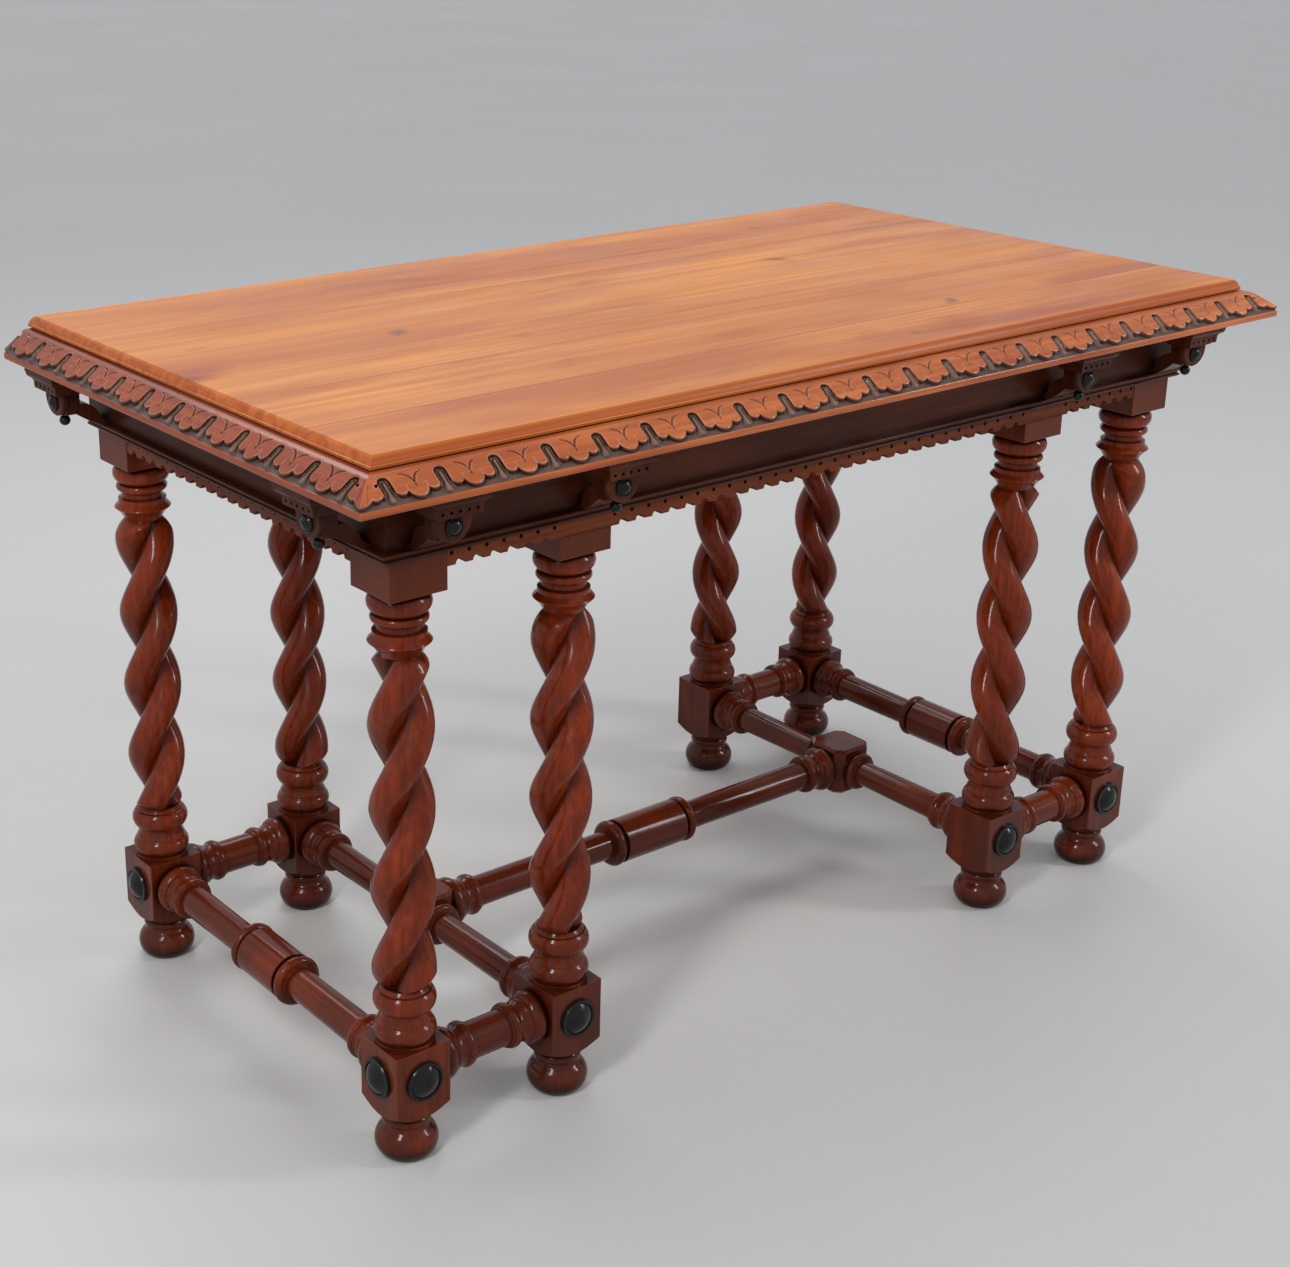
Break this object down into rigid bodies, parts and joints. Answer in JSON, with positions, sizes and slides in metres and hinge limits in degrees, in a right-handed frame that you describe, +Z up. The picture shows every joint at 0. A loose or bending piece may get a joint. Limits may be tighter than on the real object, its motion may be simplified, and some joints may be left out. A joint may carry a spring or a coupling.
{
  "type": "communion table",
  "caption": "Rectangular church side table with boarded top, carved edge on three sides, twist-turned legs on block and bun feet, turned stretchers, small brackets and a pierced apron.",
  "frame": {"origin": "on the floor under the middle of the table's bounding box", "axes": "+X along the table to the right as seen from the front, +Y to the plain back, +Z up; the carved front faces -Y"},
  "size_m": [1.321, 0.7096, 0.78],
  "materials": {
    "top_boards": "polished, orange-brown",
    "edge_moulding": "polished, red-brown",
    "frieze": "polished, very dark brown",
    "frieze_moulding": "polished, dark brown",
    "apron": "polished, orange-brown",
    "brackets": "polished, dark brown",
    "ebonised": "gloss black",
    "legs": "polished, deep red-brown",
    "stretchers": "polished, deep red-brown",
    "secondary_wood": "unfinished",
    "screws": "plain steel"
  },
  "bodies": {
    "root": {"apron_front": "apron", "apron_left": "apron", "apron_right": "apron", "back_edge_strip": "edge_moulding", "batten_left": "secondary_wood", "batten_right": "secondary_wood", "bracket_bosses": "ebonised", "bracket_cap_front_left_inner": "brackets", "bracket_cap_front_left_outer": "brackets", "bracket_cap_front_right_inner": "brackets", "bracket_cap_front_right_outer": "brackets", "bracket_cap_left_back": "brackets", "bracket_cap_left_front": "brackets", "bracket_cap_right_back": "brackets", "bracket_cap_right_front": "brackets", "bracket_front_left_inner": "brackets", "bracket_front_left_outer": "brackets", "bracket_front_right_inner": "brackets", "bracket_front_right_outer": "brackets", "bracket_left_back": "brackets", "bracket_left_front": "brackets", "bracket_pendants": "ebonised", "bracket_right_back": "brackets", "bracket_right_front": "brackets", "carved_edge_front": "edge_moulding", "carved_edge_left": "edge_moulding", "carved_edge_right": "edge_moulding", "foot_block_bosses": "ebonised", "frieze_back": "frieze", "frieze_front": "frieze", "frieze_left": "frieze", "frieze_moulding_front": "frieze_moulding", "frieze_moulding_left": "frieze_moulding", "frieze_moulding_right": "frieze_moulding", "frieze_right": "frieze", "glue_blocks": "secondary_wood", "leg_back_left_inner": "legs", "leg_back_left_outer": "legs", "leg_back_right_inner": "legs", "leg_back_right_outer": "legs", "leg_front_left_inner": "legs", "leg_front_left_outer": "legs", "leg_front_right_inner": "legs", "leg_front_right_outer": "legs", "stretcher_back_left": "stretchers", "stretcher_back_right": "stretchers", "stretcher_end_left": "stretchers", "stretcher_end_right": "stretchers", "stretcher_front_left": "stretchers", "stretcher_front_right": "stretchers", "stretcher_inner_left": "stretchers", "stretcher_inner_right": "stretchers", "stretcher_middle": "stretchers", "top_board_back": "top_boards", "top_board_back_middle": "top_boards", "top_board_front": "top_boards", "top_board_front_middle": "top_boards", "top_screws": "screws"}
  },
  "joints": []
}
